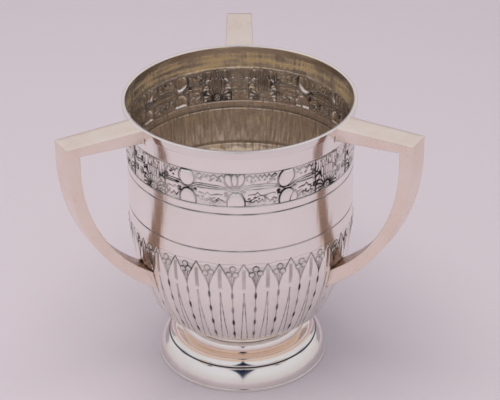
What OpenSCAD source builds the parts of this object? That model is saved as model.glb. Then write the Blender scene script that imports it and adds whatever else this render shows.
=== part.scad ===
// Three-handled loving cup with a raised body, applied wires, a domed foot on a
// moulded neck and box-section handles. Millimetres, +Z up, the cup's axis on Z,
// the foot's resting plane at z = 0, one handle towards +Y.

/* [Overall] */
// Height from the table to the top of the lip
cup_height = 183; // [155:1:220]
// Inside radius of the body below the lip
body_inner_radius = 69.3; // [58:0.1:78]
// Thickness of the raised sheet
body_wall = 1.0; // [0.8:0.1:1.6]

/* [Body] */
// Radius of the long curve of the lower body
lower_curve_radius = 130; // [110:1:156]
// Radius of the tight curve that turns under to the bottom
turn_radius = 22; // [18:0.5:25]
// Angle below horizontal at which the long curve meets the tight one
turn_angle = 27.5; // [24:0.5:30]
// How far the wall flares out at the lip
lip_flare = 0.7; // [0.4:0.1:1.0]
// Height below the lip wire over which the wall flares out
flare_height = 12; // [6:1:20]

/* [Lip wire] */
// Radial thickness of the applied wire
lip_wire_thickness = 1.2; // [0.8:0.1:2.0]
// Height of the applied wire
lip_wire_height = 4.8; // [4:0.1:6]
// Chamfer on the outer arrises of the wire
lip_wire_chamfer = 0.35; // [0.2:0.05:0.5]

/* [Foot] */
// Outside radius of the domed foot
foot_radius = 54; // [45:0.5:65]
// Radius of the dome's quarter-round section
foot_dome_radius = 13; // [10.5:0.5:15.5]
// Height of the flat wire under the foot
foot_wire_height = 2; // [1.5:0.1:3]
// How far the flat wire stands out from the foot
foot_wire_stand = 0.2; // [0.1:0.1:0.5]
// Width of the flat wire
foot_wire_width = 3.4; // [2.5:0.1:5]
// Thickness of the foot and neck sheet
foot_wall = 1.2; // [1:0.1:1.6]
// Height of the short upright band above the flat wire
foot_band_height = 1; // [0.5:0.1:2]

/* [Neck] */
// Width of the foot's flat top outside the upright neck wall
foot_ledge = 1.8; // [1.2:0.1:3]
// Height of the upright neck wall below the rounded ring
neck_wall_height = 2.1; // [1:0.1:4]
// How far the rounded ring stands out from the neck wall
neck_ring_stand = 1.3; // [0.8:0.1:2]
// Section radius of the rounded neck ring
neck_ring_section = 4.3; // [3.6:0.1:5.2]
// Height of the neck between the ring and the body
neck_height = 5.4; // [3:0.1:9]
// Width of the collar's seat under the body
neck_seat_width = 5; // [3:0.5:8]
// How far the wire over the neck joint stands out from the neck wall
join_wire_stand = 5.2; // [3:0.1:6]
// Height of the wire that covers the neck joint
join_wire_height = 2.9; // [2:0.1:3.6]
// Width of the foot's flat top inside the neck wall
foot_inner_ledge = 2.5; // [1:0.1:5]

/* [Handles] */
// Depth of the finger gap from the body to the bow
finger_depth = 42.2; // [36:0.1:50]
// Distance of the arm's top face below the lip
handle_drop = 0.2; // [0.1:0.1:2]
// Depth of the arm where it meets the body
arm_depth_inner = 8.7; // [8:0.1:11]
// Depth of the arm at the outer corner
arm_depth_outer = 6.4; // [6:0.1:8]
// Thickness of the bow just below the outer corner
bow_depth = 8.6; // [7.5:0.1:10]
// Distance below the lip at which the outside of the bow starts to curve in
bow_outer_drop = 11.5; // [8:0.5:20]
// Distance below the lip at which the inside of the bow starts to curve in
bow_inner_drop = 17.5; // [12:0.5:24]
// Height of the bow's lowest point on the body above the turn of the bottom
bow_root_rise = 26.4; // [10:0.1:30]
// Height of the bow where it meets the body
bow_root_height = 13; // [11:0.1:26]
// Width of the handle across, at the outer face
handle_width_outer = 16.2; // [14:0.1:18]
// Width of the handle across, at the lip
handle_width_inner = 17.8; // [15:0.1:20]
// Thickness of the handle sheet
handle_wall = 1.0; // [0.8:0.1:1.2]
// Radius of the vent hole under each arm
vent_radius = 0.6; // [0.5:0.1:0.8]
// Distance of the vent hole from the inside of the bow
vent_setback = 11.8; // [6:0.1:20]

/* [Hidden] */
$fn = 180;
body_radius = body_inner_radius + body_wall;
lip_radius = body_radius + lip_flare;
lip_wire_radius = lip_radius + lip_wire_thickness;
lip_wire_z = cup_height - lip_wire_height;
flare_start_z = lip_wire_z - flare_height;
foot_dome_z = foot_wire_height + foot_band_height;
foot_dome_centre_r = foot_radius - foot_dome_radius;
foot_top_z = foot_dome_z + foot_dome_radius;
neck_wall_radius = foot_dome_centre_r - foot_ledge;
foot_hole_radius = neck_wall_radius - foot_wall - foot_inner_ledge;
neck_ring_centre_r = neck_wall_radius + neck_ring_stand - neck_ring_section;
neck_ring_centre_z = foot_top_z + neck_wall_height + neck_ring_section;
body_bottom_z = neck_ring_centre_z + neck_ring_section + neck_height;
turn_centre_z = body_bottom_z + turn_radius;
curve_start_z = turn_centre_z + (lower_curve_radius - turn_radius) * sin(turn_angle);
curve_centre_r = body_radius - lower_curve_radius;
turn_centre_r = curve_centre_r + (lower_curve_radius - turn_radius) * cos(turn_angle);
turn_join_z = join_z(0);
neck_radius = min(neck_ring_centre_r, turn_centre_r);
join_wire_round = join_wire_height / 2;
join_wire_centre_r = neck_wall_radius + join_wire_stand - join_wire_round;
arm_top_z = cup_height - handle_drop;
arm_under_outer_z = arm_top_z - arm_depth_outer;
arm_under_inner_z = arm_top_z - arm_depth_inner;
bow_inner_reach = body_radius + finger_depth;
handle_reach = bow_inner_reach + bow_depth;
bow_outer_z = cup_height - bow_outer_drop;
bow_inner_z = cup_height - bow_inner_drop;
bow_root_z = turn_join_z + bow_root_rise;
bow_outer_radius = hundredths(arc_radius(handle_reach, bow_outer_z, bow_root_z));
bow_inner_radius = hundredths(arc_radius(bow_inner_reach, bow_inner_z, bow_root_z + bow_root_height));
bow_outer_centre_r = handle_reach - bow_outer_radius;
bow_inner_centre_r = bow_inner_reach - bow_inner_radius;
vent_reach = bow_inner_reach - vent_setback;
width_slope = (handle_width_inner - handle_width_outer) / 2 / (handle_reach - body_radius);
handle_root_r = turn_centre_r;
handle_floor_z = turn_join_z;
far = 300;
run_on = 1;
overrun = 5;

// Height where the long curve meets the tight one, t inside the outside face.
function join_z(t) = curve_start_z - (lower_curve_radius - t) * sin(turn_angle);

// A size rounded as it would be marked out.
function hundredths(v) = round(v * 100) / 100;

// Radius of the body's outside face at a height on its curve or straight wall.
function body_r(z) = curve_centre_r + sqrt(pow(lower_curve_radius, 2) - pow(max(curve_start_z - z, 0), 2));

// Radius of an arc that leaves an upright at reach and z and ends on the body at root_z.
function arc_radius(reach, z, root_z) =
    (pow(reach - body_r(root_z), 2) + pow(z - root_z, 2)) / (2 * (reach - body_r(root_z)));

// ---- body ----------------------------------------------------------------

// Half section of the body, drawn inward by t from its outside face.
module body_section(t) {
    // flared lip and straight wall
    polygon([
        [0, curve_start_z],
        [body_radius - t, curve_start_z],
        [body_radius - t, flare_start_z],
        [lip_radius - t, lip_wire_z],
        [lip_radius - t, cup_height],
        [0, cup_height]
    ]);
    // long curve, run on a little behind the straight wall
    intersection() {
        translate([curve_centre_r, curve_start_z]) circle(r = lower_curve_radius - t);
        translate([0, join_z(t)]) square([far, curve_start_z - join_z(t) + run_on]);
    }
    // tight curve and flat bottom, run on a little behind the long curve
    intersection() {
        translate([turn_centre_r, turn_centre_z]) circle(r = turn_radius - t);
        square([far, join_z(t) + run_on]);
    }
    translate([0, body_bottom_z + t])
        square([turn_centre_r, join_z(t) - body_bottom_z - t + run_on]);
}

module body_outside() {
    rotate_extrude() body_section(0);
}

module cup_body() {
    color("silver") rotate_extrude() difference() {
        body_section(0);
        union() {
            body_section(body_wall);
            translate([0, cup_height - 1]) square([lip_radius - body_wall, 2]);
        }
    }
}

// ---- lip wire --------------------------------------------------------------

module lip_wire_section() {
    polygon([
        [lip_radius, lip_wire_z],
        [lip_wire_radius - lip_wire_chamfer, lip_wire_z],
        [lip_wire_radius, lip_wire_z + lip_wire_chamfer],
        [lip_wire_radius, cup_height - lip_wire_chamfer],
        [lip_wire_radius - lip_wire_chamfer, cup_height],
        [lip_radius, cup_height]
    ]);
}

module lip_wire() {
    color("gainsboro") rotate_extrude() lip_wire_section();
}

// ---- foot and neck -----------------------------------------------------------

module foot_collar() {
    color("silver") rotate_extrude() difference() {
        union() {
            // rounded ring
            intersection() {
                translate([neck_ring_centre_r, neck_ring_centre_z]) circle(r = neck_ring_section);
                translate([neck_ring_centre_r, 0]) square([far, far]);
            }
            // upright wall on the foot
            translate([0, foot_top_z]) square([neck_wall_radius, neck_ring_centre_z - foot_top_z]);
            // ring's flat inner half and the neck up to the body
            translate([0, neck_ring_centre_z]) square([neck_ring_centre_r, neck_ring_section]);
            translate([0, neck_ring_centre_z]) square([neck_radius, body_bottom_z - neck_ring_centre_z]);
        }
        union() {
            intersection() {
                translate([neck_ring_centre_r, neck_ring_centre_z])
                    circle(r = neck_ring_section - foot_wall);
                translate([neck_ring_centre_r, 0]) square([far, far]);
            }
            translate([0, foot_top_z - 1])
                square([neck_wall_radius - foot_wall, neck_ring_centre_z - foot_top_z + 1]);
            translate([0, neck_ring_centre_z])
                square([neck_ring_centre_r, neck_ring_section - foot_wall]);
            translate([0, neck_ring_centre_z])
                square([neck_radius - foot_wall, body_bottom_z - neck_ring_centre_z - foot_wall]);
            translate([0, neck_ring_centre_z])
                square([neck_radius - neck_seat_width, body_bottom_z - neck_ring_centre_z + 1]);
        }
    }
}

module join_wire() {
    color("gainsboro") rotate_extrude() union() {
        translate([join_wire_centre_r, foot_top_z + join_wire_round]) circle(r = join_wire_round);
        translate([neck_wall_radius, foot_top_z])
            square([join_wire_centre_r - neck_wall_radius, join_wire_height]);
    }
}

module foot_shell() {
    color("silver") rotate_extrude() difference() {
        union() {
            intersection() {
                translate([foot_dome_centre_r, foot_dome_z]) circle(r = foot_dome_radius);
                translate([foot_dome_centre_r, foot_dome_z]) square([far, far]);
            }
            translate([foot_hole_radius, foot_dome_z])
                square([foot_dome_centre_r - foot_hole_radius, foot_dome_radius]);
            translate([foot_hole_radius, foot_wire_height])
                square([foot_radius - foot_hole_radius, foot_band_height]);
        }
        union() {
            intersection() {
                translate([foot_dome_centre_r, foot_dome_z]) circle(r = foot_dome_radius - foot_wall);
                translate([foot_dome_centre_r, foot_dome_z]) square([far, far]);
            }
            translate([0, foot_dome_z]) square([foot_dome_centre_r, foot_dome_radius - foot_wall]);
            translate([0, 0]) square([foot_radius - foot_wall, foot_dome_z]);
        }
    }
}

module foot_wire() {
    color("gainsboro") rotate_extrude()
        translate([foot_radius + foot_wire_stand - foot_wire_width, 0])
            square([foot_wire_width, foot_wire_height]);
}

// ---- handles -------------------------------------------------------------------
// One handle is drawn reaching along +X and then turned into place. Its side view
// is drawn in X and Z, and its plan is a bar that narrows away from the cup.

// Side view of the whole bow, outside radius drawn inward by t.
module bow_outside(t) {
    difference() {
        translate([handle_root_r, handle_floor_z])
            square([handle_reach - t - handle_root_r, arm_top_z - handle_floor_z]);
        difference() {
            translate([0, 0]) square([far, bow_outer_z]);
            translate([bow_outer_centre_r, bow_outer_z]) circle(r = bow_outer_radius - t);
        }
    }
}

// Side view of the finger gap, grown outward by t.
module finger_gap(t) {
    difference() {
        polygon([
            [0, 0],
            [bow_inner_reach + t, 0],
            [bow_inner_reach + t, arm_under_outer_z + t],
            [bow_inner_reach, arm_under_outer_z + t],
            [body_radius, arm_under_inner_z + t],
            [0, arm_under_inner_z + t]
        ]);
        difference() {
            translate([0, -1]) square([far, bow_inner_z + 1]);
            translate([bow_inner_centre_r, bow_inner_z]) circle(r = bow_inner_radius + t);
        }
    }
}

// Upright slab of a side view, inside the narrowing plan drawn in by t on each side.
module slab(t) {
    intersection() {
        rotate([90, 0, 0]) linear_extrude(height = 60, center = true) children();
        linear_extrude(height = far) polygon([
            [handle_root_r, -(handle_width_inner / 2 - t + width_slope * (body_radius - handle_root_r))],
            [handle_reach + overrun, -(handle_width_outer / 2 - t - width_slope * overrun)],
            [handle_reach + overrun, handle_width_outer / 2 - t - width_slope * overrun],
            [handle_root_r, handle_width_inner / 2 - t + width_slope * (body_radius - handle_root_r)]
        ]);
    }
}

// Everything a handle part is coped against.
module cup_outside() {
    body_outside();
    rotate_extrude() lip_wire_section();
}

// Plate on top of the arm, over the cheeks and the outer strip.
module top_plate() {
    difference() {
        slab(0) translate([handle_root_r, arm_top_z - handle_wall])
            square([handle_reach - handle_root_r, handle_wall]);
        cup_outside();
    }
}

// Strip round the outside of the bow, under the top plate.
module outer_strip() {
    difference() {
        slab(0) intersection() {
            difference() {
                bow_outside(0);
                bow_outside(handle_wall);
            }
            translate([0, 0]) square([far, arm_top_z - handle_wall]);
        }
        cup_outside();
    }
}

// Side of the handle in one piece, arm and bow together.
module cheek(side) {
    difference() {
        slab(0) intersection() {
            difference() {
                bow_outside(handle_wall);
                finger_gap(0);
            }
            translate([0, 0]) square([far, arm_top_z - handle_wall]);
        }
        slab(handle_wall) square([far, far]);
        translate([0, side * 50, far / 2]) cube([2 * far, 100, 2 * far], center = true);
        cup_outside();
    }
}

// Plate under the arm, let in between the cheeks, with a vent hole.
module under_plate() {
    difference() {
        slab(handle_wall) intersection() {
            difference() {
                finger_gap(handle_wall);
                finger_gap(0);
            }
            translate([0, arm_under_inner_z - 1])
                square([bow_inner_reach, arm_top_z - arm_under_inner_z]);
        }
        translate([vent_reach, 0, arm_under_inner_z])
            cylinder(r = vent_radius, h = arm_top_z - arm_under_inner_z, $fn = 24);
        cup_outside();
    }
}

// Strip round the inside of the bow, let in between the cheeks.
module inner_strip() {
    difference() {
        slab(handle_wall) intersection() {
            difference() {
                finger_gap(handle_wall);
                finger_gap(0);
            }
            union() {
                translate([bow_inner_reach, bow_inner_z]) square([far, far]);
                square([far, bow_inner_z]);
            }
        }
        cup_outside();
    }
}

module at_handle(turn) {
    rotate([0, 0, turn]) children();
}

module handle_a_top_plate() { color("linen") at_handle(90) top_plate(); }
module handle_a_outer_strip() { color("linen") at_handle(90) outer_strip(); }
module handle_a_under_plate() { color("wheat") at_handle(90) under_plate(); }
module handle_a_inner_strip() { color("wheat") at_handle(90) inner_strip(); }
module handle_a_cheek_left() { color("antiquewhite") at_handle(90) cheek(-1); }
module handle_a_cheek_right() { color("antiquewhite") at_handle(90) cheek(1); }

module handle_b_top_plate() { color("linen") at_handle(210) top_plate(); }
module handle_b_outer_strip() { color("linen") at_handle(210) outer_strip(); }
module handle_b_under_plate() { color("wheat") at_handle(210) under_plate(); }
module handle_b_inner_strip() { color("wheat") at_handle(210) inner_strip(); }
module handle_b_cheek_left() { color("antiquewhite") at_handle(210) cheek(-1); }
module handle_b_cheek_right() { color("antiquewhite") at_handle(210) cheek(1); }

module handle_c_top_plate() { color("linen") at_handle(330) top_plate(); }
module handle_c_outer_strip() { color("linen") at_handle(330) outer_strip(); }
module handle_c_under_plate() { color("wheat") at_handle(330) under_plate(); }
module handle_c_inner_strip() { color("wheat") at_handle(330) inner_strip(); }
module handle_c_cheek_left() { color("antiquewhite") at_handle(330) cheek(-1); }
module handle_c_cheek_right() { color("antiquewhite") at_handle(330) cheek(1); }

cup_body();
lip_wire();
foot_collar();
join_wire();
foot_shell();
foot_wire();
handle_a_top_plate();
handle_a_outer_strip();
handle_a_under_plate();
handle_a_inner_strip();
handle_a_cheek_left();
handle_a_cheek_right();
handle_b_top_plate();
handle_b_outer_strip();
handle_b_under_plate();
handle_b_inner_strip();
handle_b_cheek_left();
handle_b_cheek_right();
handle_c_top_plate();
handle_c_outer_strip();
handle_c_under_plate();
handle_c_inner_strip();
handle_c_cheek_left();
handle_c_cheek_right();
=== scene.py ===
import math

import bmesh
import bpy
import numpy as np
from mathutils import Matrix, Vector


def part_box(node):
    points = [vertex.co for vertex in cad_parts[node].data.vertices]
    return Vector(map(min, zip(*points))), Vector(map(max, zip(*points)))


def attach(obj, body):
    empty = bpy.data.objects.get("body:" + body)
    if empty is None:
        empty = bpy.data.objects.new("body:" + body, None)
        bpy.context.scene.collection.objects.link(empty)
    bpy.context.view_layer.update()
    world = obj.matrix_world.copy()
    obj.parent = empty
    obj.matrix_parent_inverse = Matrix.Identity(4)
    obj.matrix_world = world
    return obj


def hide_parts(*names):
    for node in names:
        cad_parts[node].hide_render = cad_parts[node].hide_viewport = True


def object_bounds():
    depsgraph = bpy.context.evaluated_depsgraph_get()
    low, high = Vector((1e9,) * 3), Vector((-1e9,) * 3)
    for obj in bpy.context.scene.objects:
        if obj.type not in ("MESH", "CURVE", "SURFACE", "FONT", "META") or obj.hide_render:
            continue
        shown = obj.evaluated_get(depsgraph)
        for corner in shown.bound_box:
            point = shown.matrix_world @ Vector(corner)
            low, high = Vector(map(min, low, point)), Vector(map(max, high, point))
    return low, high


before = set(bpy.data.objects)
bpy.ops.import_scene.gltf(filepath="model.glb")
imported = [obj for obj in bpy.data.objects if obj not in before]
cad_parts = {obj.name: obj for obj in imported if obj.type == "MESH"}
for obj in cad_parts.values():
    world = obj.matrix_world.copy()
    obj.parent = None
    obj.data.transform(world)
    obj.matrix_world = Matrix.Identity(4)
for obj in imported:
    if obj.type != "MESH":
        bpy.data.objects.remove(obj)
cad_low, cad_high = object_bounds()
MM = 0.001

# ---- studio --------------------------------------------------------------------
# A pale lilac-grey paper sweep under the cup, a white light tent all round with one
# dark slot in it, and a soft lamp overhead. The camera looks down from 30 degrees.


def srgb(code):
    """sRGB hex to linear colour."""
    parts = [int(code[i : i + 2], 16) / 255 for i in (1, 3, 5)]
    return tuple(c / 12.92 if c <= 0.04045 else ((c + 0.055) / 1.055) ** 2.4 for c in parts) + (1.0,)


def put(tree, kind, settings=None, links=None):
    """Adds one shader node, sets its properties or inputs, and links its inputs."""
    made = tree.nodes.new(kind)
    for key, value in (settings or {}).items():
        if isinstance(key, str) and hasattr(made, key):
            setattr(made, key, value)
        else:
            made.inputs[key].default_value = value
    for key, source in (links or {}).items():
        tree.links.new(source, made.inputs[key])
    return made


def ramp(tree, value, low, high, start=0.0, end=1.0):
    """Maps a value from low..high to start..end, and holds it at both ends."""
    settings = {"From Min": low, "From Max": high, "To Min": start, "To Max": end}
    return put(tree, "ShaderNodeMapRange", settings, {"Value": value}).outputs[0]


def maths(tree, operation, first, second):
    """Joins two values by one math operation."""
    return put(tree, "ShaderNodeMath", {"operation": operation}, {0: first, 1: second}).outputs[0]


def mixed(tree, share, first, second):
    """Mixes two colours, each given as an sRGB code or as a link."""
    settings, links = {"data_type": "RGBA"}, {0: share}
    for side, colour in ((6, first), (7, second)):
        if isinstance(colour, str):
            settings[side] = srgb(colour)
        else:
            links[side] = colour
    return put(tree, "ShaderNodeMix", settings, links).outputs[2]


CAMERA_ELEVATION = math.radians(30.1)
CAMERA_ROLL = math.radians(0.65)
CAMERA_DISTANCE, CAMERA_RIGHT, CAMERA_RISE = 1.267, 0.0057, 0.0156
right = Vector((1, 0, 0))
forward = Vector((0, math.cos(CAMERA_ELEVATION), -math.sin(CAMERA_ELEVATION)))
up = Vector((0, math.sin(CAMERA_ELEVATION), math.cos(CAMERA_ELEVATION)))
cup_middle = Vector((0, 0, (cad_low.z + cad_high.z) / 2))
camera_at = cup_middle - CAMERA_DISTANCE * forward + CAMERA_RIGHT * right + CAMERA_RISE * up
camera_x = right * math.cos(CAMERA_ROLL) - up * math.sin(CAMERA_ROLL)
camera_y = right * math.sin(CAMERA_ROLL) + up * math.cos(CAMERA_ROLL)
camera = bpy.data.objects.new("camera", bpy.data.cameras.new("camera"))
bpy.context.scene.collection.objects.link(camera)
camera_turn = Matrix((camera_x, camera_y, -forward)).transposed().to_4x4()
camera.matrix_world = Matrix.Translation(camera_at) @ camera_turn
camera.data.lens = 144
camera.data.sensor_width = 36
bpy.context.scene.camera = camera
bpy.context.scene.view_settings.view_transform = "Standard"

SWEEP_RADIUS, SWEEP_FRONT, SWEEP_BEND, SWEEP_TOP, SWEEP_HALF = 0.6, -2.2, 1.3, 0.8, 2.4
sweep_rows = [(SWEEP_FRONT, 0.0), (SWEEP_BEND, 0.0)]
for step in range(1, 13):
    turn = math.radians(90 * step / 12)
    sweep_rows.append((SWEEP_BEND + SWEEP_RADIUS * math.sin(turn), SWEEP_RADIUS * (1 - math.cos(turn))))
sweep_rows.append((SWEEP_BEND + SWEEP_RADIUS, SWEEP_TOP))
sweep_mesh = bpy.data.meshes.new("paper_sweep")
sweep_mesh.from_pydata(
    [(x, y, z) for y, z in sweep_rows for x in (-SWEEP_HALF, SWEEP_HALF)],
    [],
    [(2 * i, 2 * i + 1, 2 * i + 3, 2 * i + 2) for i in range(len(sweep_rows) - 1)],
)
sweep_mesh.polygons.foreach_set("use_smooth", [True] * len(sweep_mesh.polygons))
paper_sweep = bpy.data.objects.new("paper_sweep", sweep_mesh)
bpy.context.scene.collection.objects.link(paper_sweep)
paper = bpy.data.materials.new("seamless_paper_matt")
paper.use_nodes = True
paper_shader = paper.node_tree.nodes["Principled BSDF"]
paper_shader.inputs["Base Color"].default_value = srgb("#cdc4cc")
paper_shader.inputs["Roughness"].default_value = 0.9
sweep_mesh.materials.append(paper)

# The tent is pale all round. A dark slot starts as a point low in front of the cup,
# widens to about 33 degrees overhead and ends just behind the zenith, and two dark
# corners lie high up behind, to the left and right.
room = bpy.data.worlds.new("light_tent")
bpy.context.scene.world = room
room.use_nodes = True
room_tree = room.node_tree
room_tree.nodes.clear()
direction = put(room_tree, "ShaderNodeTexCoord").outputs["Generated"]
side_x, ahead_y, above_z = put(room_tree, "ShaderNodeSeparateXYZ", links={0: direction}).outputs
beside = put(room_tree, "ShaderNodeMath", {"operation": "ABSOLUTE"}, {0: side_x}).outputs[0]
slot_width = ramp(room_tree, ahead_y, -0.985, 0.1, 0.0, 0.3)
slot_room = maths(room_tree, "SUBTRACT", slot_width, beside)
slot_edge = ramp(room_tree, slot_room, -0.01, 0.02)
slot_end = ramp(room_tree, ahead_y, 0.05, 0.2, 1.0, 0.0)
slot_mask = maths(room_tree, "MULTIPLY", slot_edge, slot_end)
behind = ramp(room_tree, ahead_y, 0.25, 0.4)
high_up = ramp(room_tree, above_z, 0.6, 0.72)
to_side = ramp(room_tree, beside, 0.5, 0.62)
corner_mask = maths(room_tree, "MULTIPLY", behind, maths(room_tree, "MULTIPLY", to_side, high_up))
dark_mask = maths(room_tree, "MAXIMUM", slot_mask, corner_mask)
tent = mixed(room_tree, ramp(room_tree, above_z, 0.1, 0.7), "#d5d0d0", "#e2e1e6")
room_colour = mixed(room_tree, dark_mask, tent, "#1d2740")
room_light = put(room_tree, "ShaderNodeBackground", {"Strength": 0.96}, {0: room_colour})
put(room_tree, "ShaderNodeOutputWorld", links={0: room_light.outputs[0]})

# A broad soft lamp overhead lights the paper; the cup mirrors only the tent.
key_lamp = bpy.data.lights.new("key_softbox", "AREA")
key_lamp.shape = "RECTANGLE"
key_lamp.size, key_lamp.size_y = 1.1, 0.8
key_lamp.energy = 9.6
key_lamp.color = srgb("#fff8ef")[:3]
key_softbox = bpy.data.objects.new("key_softbox", key_lamp)
bpy.context.scene.collection.objects.link(key_softbox)
key_softbox.location = (-0.12, -0.15, 1.3)
key_softbox.visible_glossy = False
to_cup = Vector((0, 0, 0.1)) - key_softbox.location
key_softbox.rotation_euler = to_cup.to_track_quat("-Z", "Y").to_euler()

# ---- cup body --------------------------------------------------------------------
# Raised by hammer from one silver disc about 1 mm thick, then chased from the front:
# a fruit-and-leaf frieze, four plain tracer lines and a ring of thirty pointed leaves.
# Lines are oxidised dark, and the reverse of every blow shows inside.

body_low, body_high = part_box("cup_body")
LIP_Z = body_high.z / MM
BOTTOM_Z = body_low.z / MM
LIP_R = body_high.x / MM
WALL_MM = 1.0
STRAIGHT_R = LIP_R - 0.7
FLARE_TOP_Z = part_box("lip_wire")[0].z / MM
FLARE_LOW_Z = FLARE_TOP_Z - 12
LONG_R, TURN_R, TURN_ANGLE = 130.0, 22.0, math.radians(27.5)
CURVE_Z = BOTTOM_Z + TURN_R + (LONG_R - TURN_R) * math.sin(TURN_ANGLE)
TURN_CENTRE_R = STRAIGHT_R - LONG_R + (LONG_R - TURN_R) * math.cos(TURN_ANGLE)
LONG_LENGTH = LONG_R * TURN_ANGLE
TURN_LENGTH = TURN_R * (math.pi / 2 - TURN_ANGLE)
STRAIGHT_LENGTH = LIP_Z - CURVE_Z
OUTSIDE_LENGTH = STRAIGHT_LENGTH + LONG_LENGTH + TURN_LENGTH


def body_at(down):
    """Point (r, z) and outward normal on the outside, so many mm down from the lip."""
    down = np.asarray(down, float)
    z = LIP_Z - down
    flare = np.clip((z - FLARE_LOW_Z) / (FLARE_TOP_Z - FLARE_LOW_Z), 0, 1)
    r = STRAIGHT_R + (LIP_R - STRAIGHT_R) * flare * flare * (3 - 2 * flare)
    nr, nz = np.ones_like(r), np.zeros_like(r)
    a = np.clip((down - STRAIGHT_LENGTH) / LONG_R, 0, TURN_ANGLE)
    on_long = down > STRAIGHT_LENGTH
    r = np.where(on_long, STRAIGHT_R - LONG_R * (1 - np.cos(a)), r)
    z = np.where(on_long, CURVE_Z - LONG_R * np.sin(a), z)
    nr, nz = np.where(on_long, np.cos(a), nr), np.where(on_long, -np.sin(a), nz)
    b = np.clip((down - STRAIGHT_LENGTH - LONG_LENGTH) / TURN_R, 0, math.pi / 2 - TURN_ANGLE) + TURN_ANGLE
    on_turn = down > STRAIGHT_LENGTH + LONG_LENGTH
    r = np.where(on_turn, TURN_CENTRE_R + TURN_R * np.cos(b), r)
    z = np.where(on_turn, BOTTOM_Z + TURN_R - TURN_R * np.sin(b), z)
    nr, nz = np.where(on_turn, np.cos(b), nr), np.where(on_turn, -np.sin(b), nz)
    return r, z, nr, nz


def smooth(v, low, high):
    t = np.clip((v - low) / (high - low), 0, 1)
    return t * t * (3 - 2 * t)


def blur(field, rows, columns):
    """Softens a field that wraps round the cup, by box passes of those half-widths."""
    for _ in range(2):
        for axis, half in ((0, rows), (1, columns)):
            if half:
                pad = [(half, half) if axis == 0 else (0, 0), (half, half) if axis == 1 else (0, 0)]
                grown = np.pad(field, pad, mode="wrap" if axis == 1 else "edge")
                total = np.cumsum(grown, axis=axis)
                total = np.concatenate([np.zeros_like(np.take(total, [0], axis)), total], axis)
                n = field.shape[axis]
                high = np.take(total, np.arange(2 * half + 1, 2 * half + 1 + n), axis)
                field = (high - np.take(total, np.arange(n), axis)) / (2 * half + 1)
    return field


COLUMNS = 1200
azimuth = np.arange(COLUMNS) * 2 * math.pi / COLUMNS  # 0 faces the front, between two handles
fine_end = STRAIGHT_LENGTH + LONG_LENGTH + 6.5
outside_down = np.concatenate(
    [np.linspace(0, fine_end, 408), np.linspace(fine_end, OUTSIDE_LENGTH, 22)[1:]]
)
A, D = np.meshgrid(azimuth, outside_down)
R_HERE, Z_HERE = body_at(D)[:2]
height = np.zeros_like(A)
dark = np.zeros_like(A)
rng = np.random.default_rng(1911)


def line(distance, half_width, depth, tint, where=True):
    """Chases one tracer line: a rounded groove, blackened in its bottom."""
    global height, dark
    away = np.abs(distance)
    groove = depth * (1 - smooth(away, 0, half_width * 1.9))
    soot = tint * (1 - smooth(away, half_width * 0.55, half_width * 1.45))
    height = np.where(where, height - groove, height)
    dark = np.where(where, np.maximum(dark, soot), dark)


def unevenness(rows, columns, keep=slice(None)):
    """Smooth random hills round the cup, scaled to a standard deviation of one."""
    field = blur(rng.normal(0, 1, A.shape), rows, columns)[keep]
    return field / field.std()


def wrapped(angle):
    return (angle + math.pi) % (2 * math.pi) - math.pi


# the four tracer lines, given by their heights above the table
FRIEZE_TOP, FRIEZE_LOW, BAND_TOP, BAND_LOW = 167.6, 145.4, 140.0, 114.3
for z_mm, half, depth, tint in (
    (FRIEZE_TOP, 0.32, 0.28, 0.55),
    (FRIEZE_LOW, 0.36, 0.3, 0.7),
    (BAND_TOP, 0.42, 0.34, 0.85),
    (BAND_LOW, 0.42, 0.34, 0.85),
):
    wave = 0.12 * np.sin(3 * A + z_mm) + 0.08 * np.sin(7 * A + 2 * z_mm)
    line(Z_HERE - z_mm - wave, half, depth, tint)

# ring of pointed leaves with berries between their tips
LEAVES = 30
LEAF_TURN = math.radians(1.2)
TIP_D, VEE_D, LEAF_END_D = LIP_Z - 104.9, LIP_Z - 85.8, STRAIGHT_LENGTH + LONG_LENGTH + 3.2
in_leaves = (D > TIP_D - 2.5) & (D < LEAF_END_D)
pitch = 2 * math.pi / LEAVES
leaf_index = np.round((A - LEAF_TURN) / pitch).astype(int) % LEAVES
leaf_jitter = rng.normal(0, 1, (LEAVES, 4))
leaf_x = (wrapped(A - LEAF_TURN - leaf_index * pitch)) * R_HERE
half_pitch = pitch / 2 * R_HERE
tip_here = TIP_D + 0.35 * leaf_jitter[leaf_index, 0]
run = np.clip((D - tip_here) / (VEE_D - TIP_D), 0, 1)
leaf_half = half_pitch * (1 - (1 - run) ** 1.55)
edge = np.abs(leaf_x) - leaf_half
on_arch = in_leaves & (D < VEE_D + 1.2) & (D > tip_here - 0.4)
line(edge * np.clip(0.55 + 0.45 * run, 0, 1), 0.3, 0.42, 0.72, on_arch)
# the leaf's face swells a little between its edges
face = np.clip(1 - np.abs(leaf_x) / np.maximum(leaf_half, 0.1), 0, 1)
height += np.where(in_leaves & (D > tip_here), 0.42 * smooth(face, 0, 0.7) * smooth(D, TIP_D, TIP_D + 9), 0)
# grooves between leaves, opened out into lens-shaped nicks
between = half_pitch - np.abs(leaf_x)
nick_phase = (D - VEE_D - 4.5) / 12.3
nick = np.clip(0.2 + np.cos(2 * math.pi * nick_phase), 0, 1) ** 1.4
line(between / (0.8 + 1.3 * nick), 0.36, 0.5, 0.7 + 0.3 * nick, in_leaves & (D > VEE_D - 0.5))
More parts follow.
